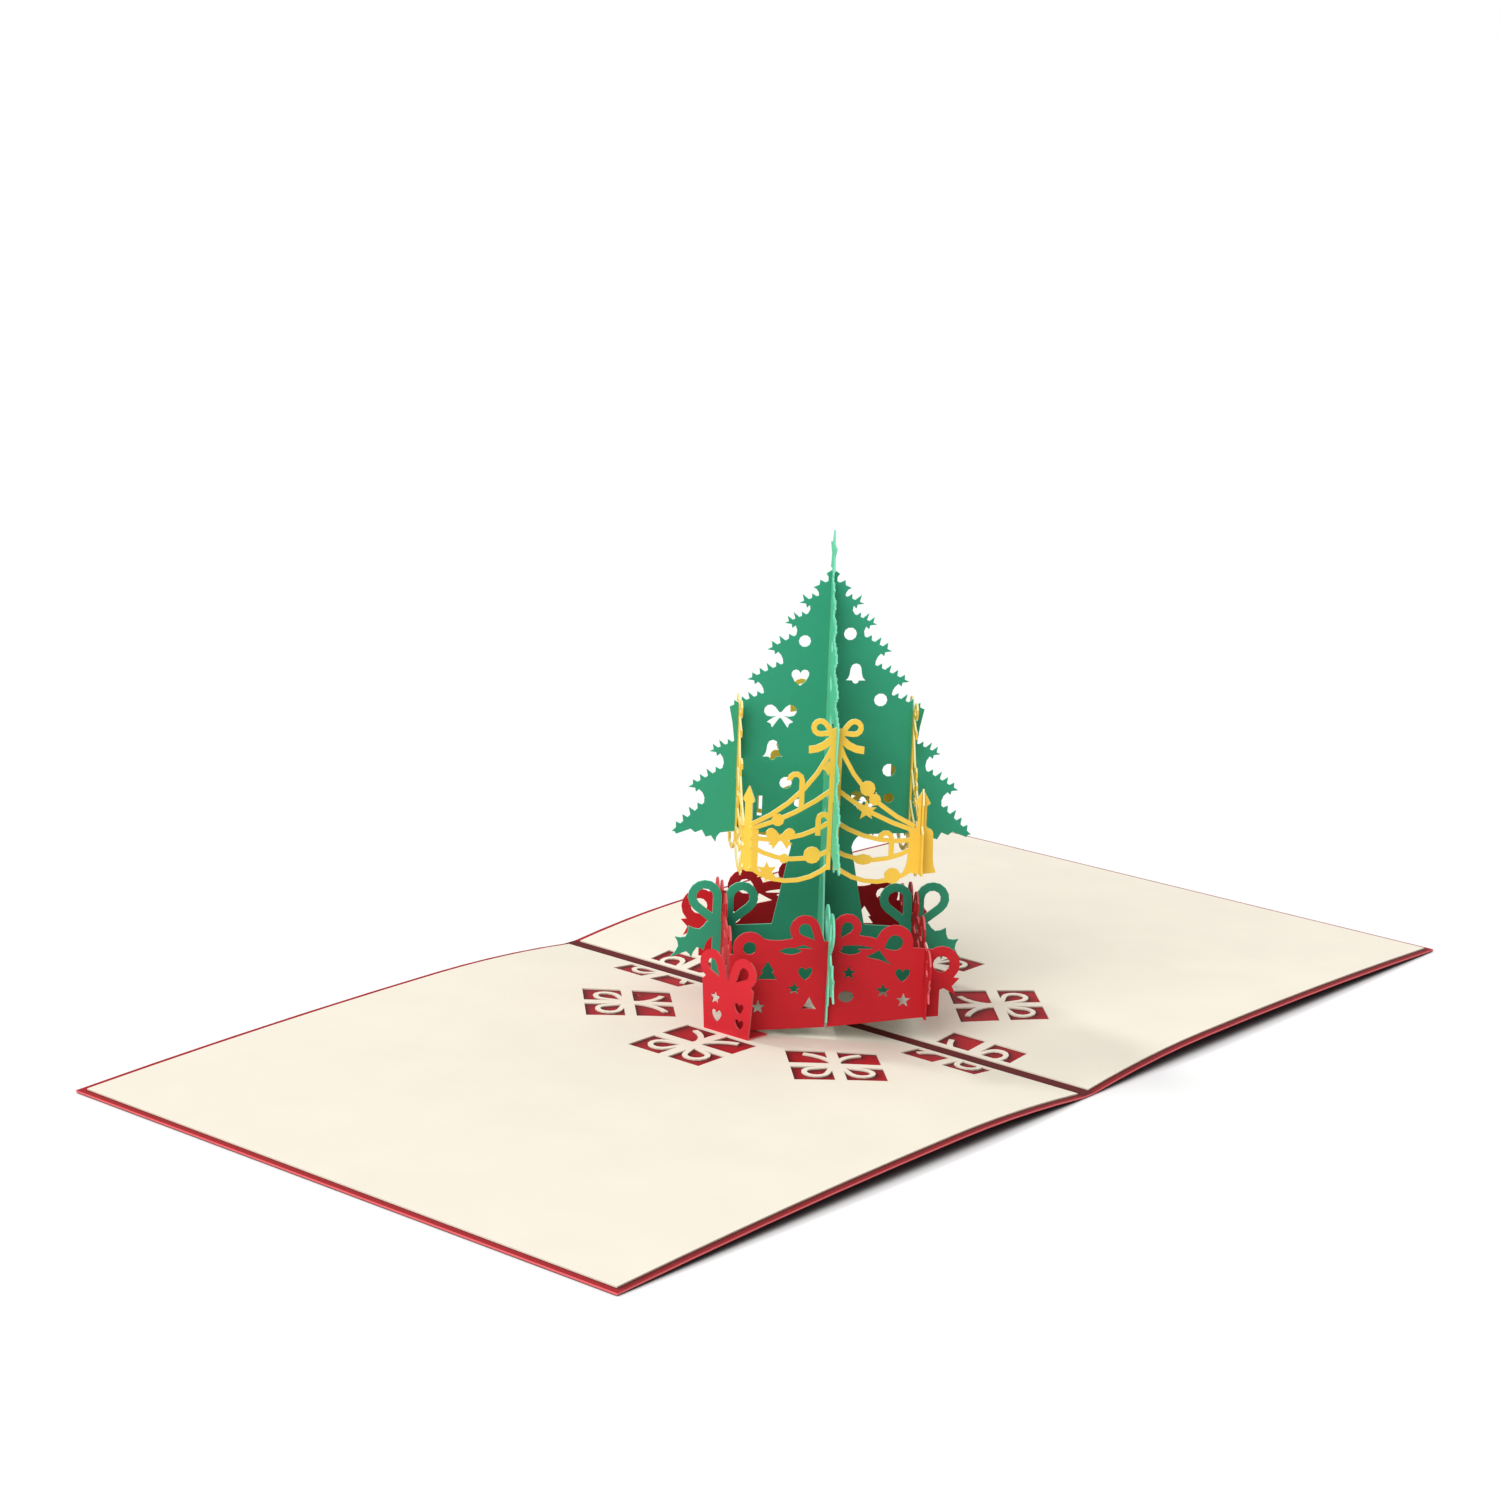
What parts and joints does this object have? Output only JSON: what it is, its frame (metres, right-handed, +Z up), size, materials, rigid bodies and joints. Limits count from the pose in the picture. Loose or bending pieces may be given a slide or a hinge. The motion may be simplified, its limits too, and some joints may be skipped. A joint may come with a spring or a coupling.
{
  "type": "pop up card",
  "caption": "Open pop up card: a folded red cover with cream liners carries a tree of crossed green sheets, ringed by red presents and a yellow garland.",
  "frame": {"origin": "middle of the spine, on the plane the open card lies on", "axes": "+X across the leaves, towards the right leaf; +Y along the spine, towards the leaves' top edges; +Z up along the tree"},
  "size_m": [0.3, 0.15, 0.1113],
  "materials": {
    "red_card": "matt",
    "cream_card": "matt",
    "green_card": "matt",
    "yellow_card": "matt"
  },
  "bodies": {
    "root": {"cover": "red_card", "liner_left": "cream_card", "liner_right": "cream_card", "tree_sheet_nw_se": "green_card", "tree_sheet_sw_ne": "green_card", "fence_west": "red_card", "fence_east": "red_card", "garland_west": "yellow_card", "garland_east": "yellow_card", "gift_tab_west": "red_card", "gift_tab_east": "red_card"}
  },
  "joints": []
}
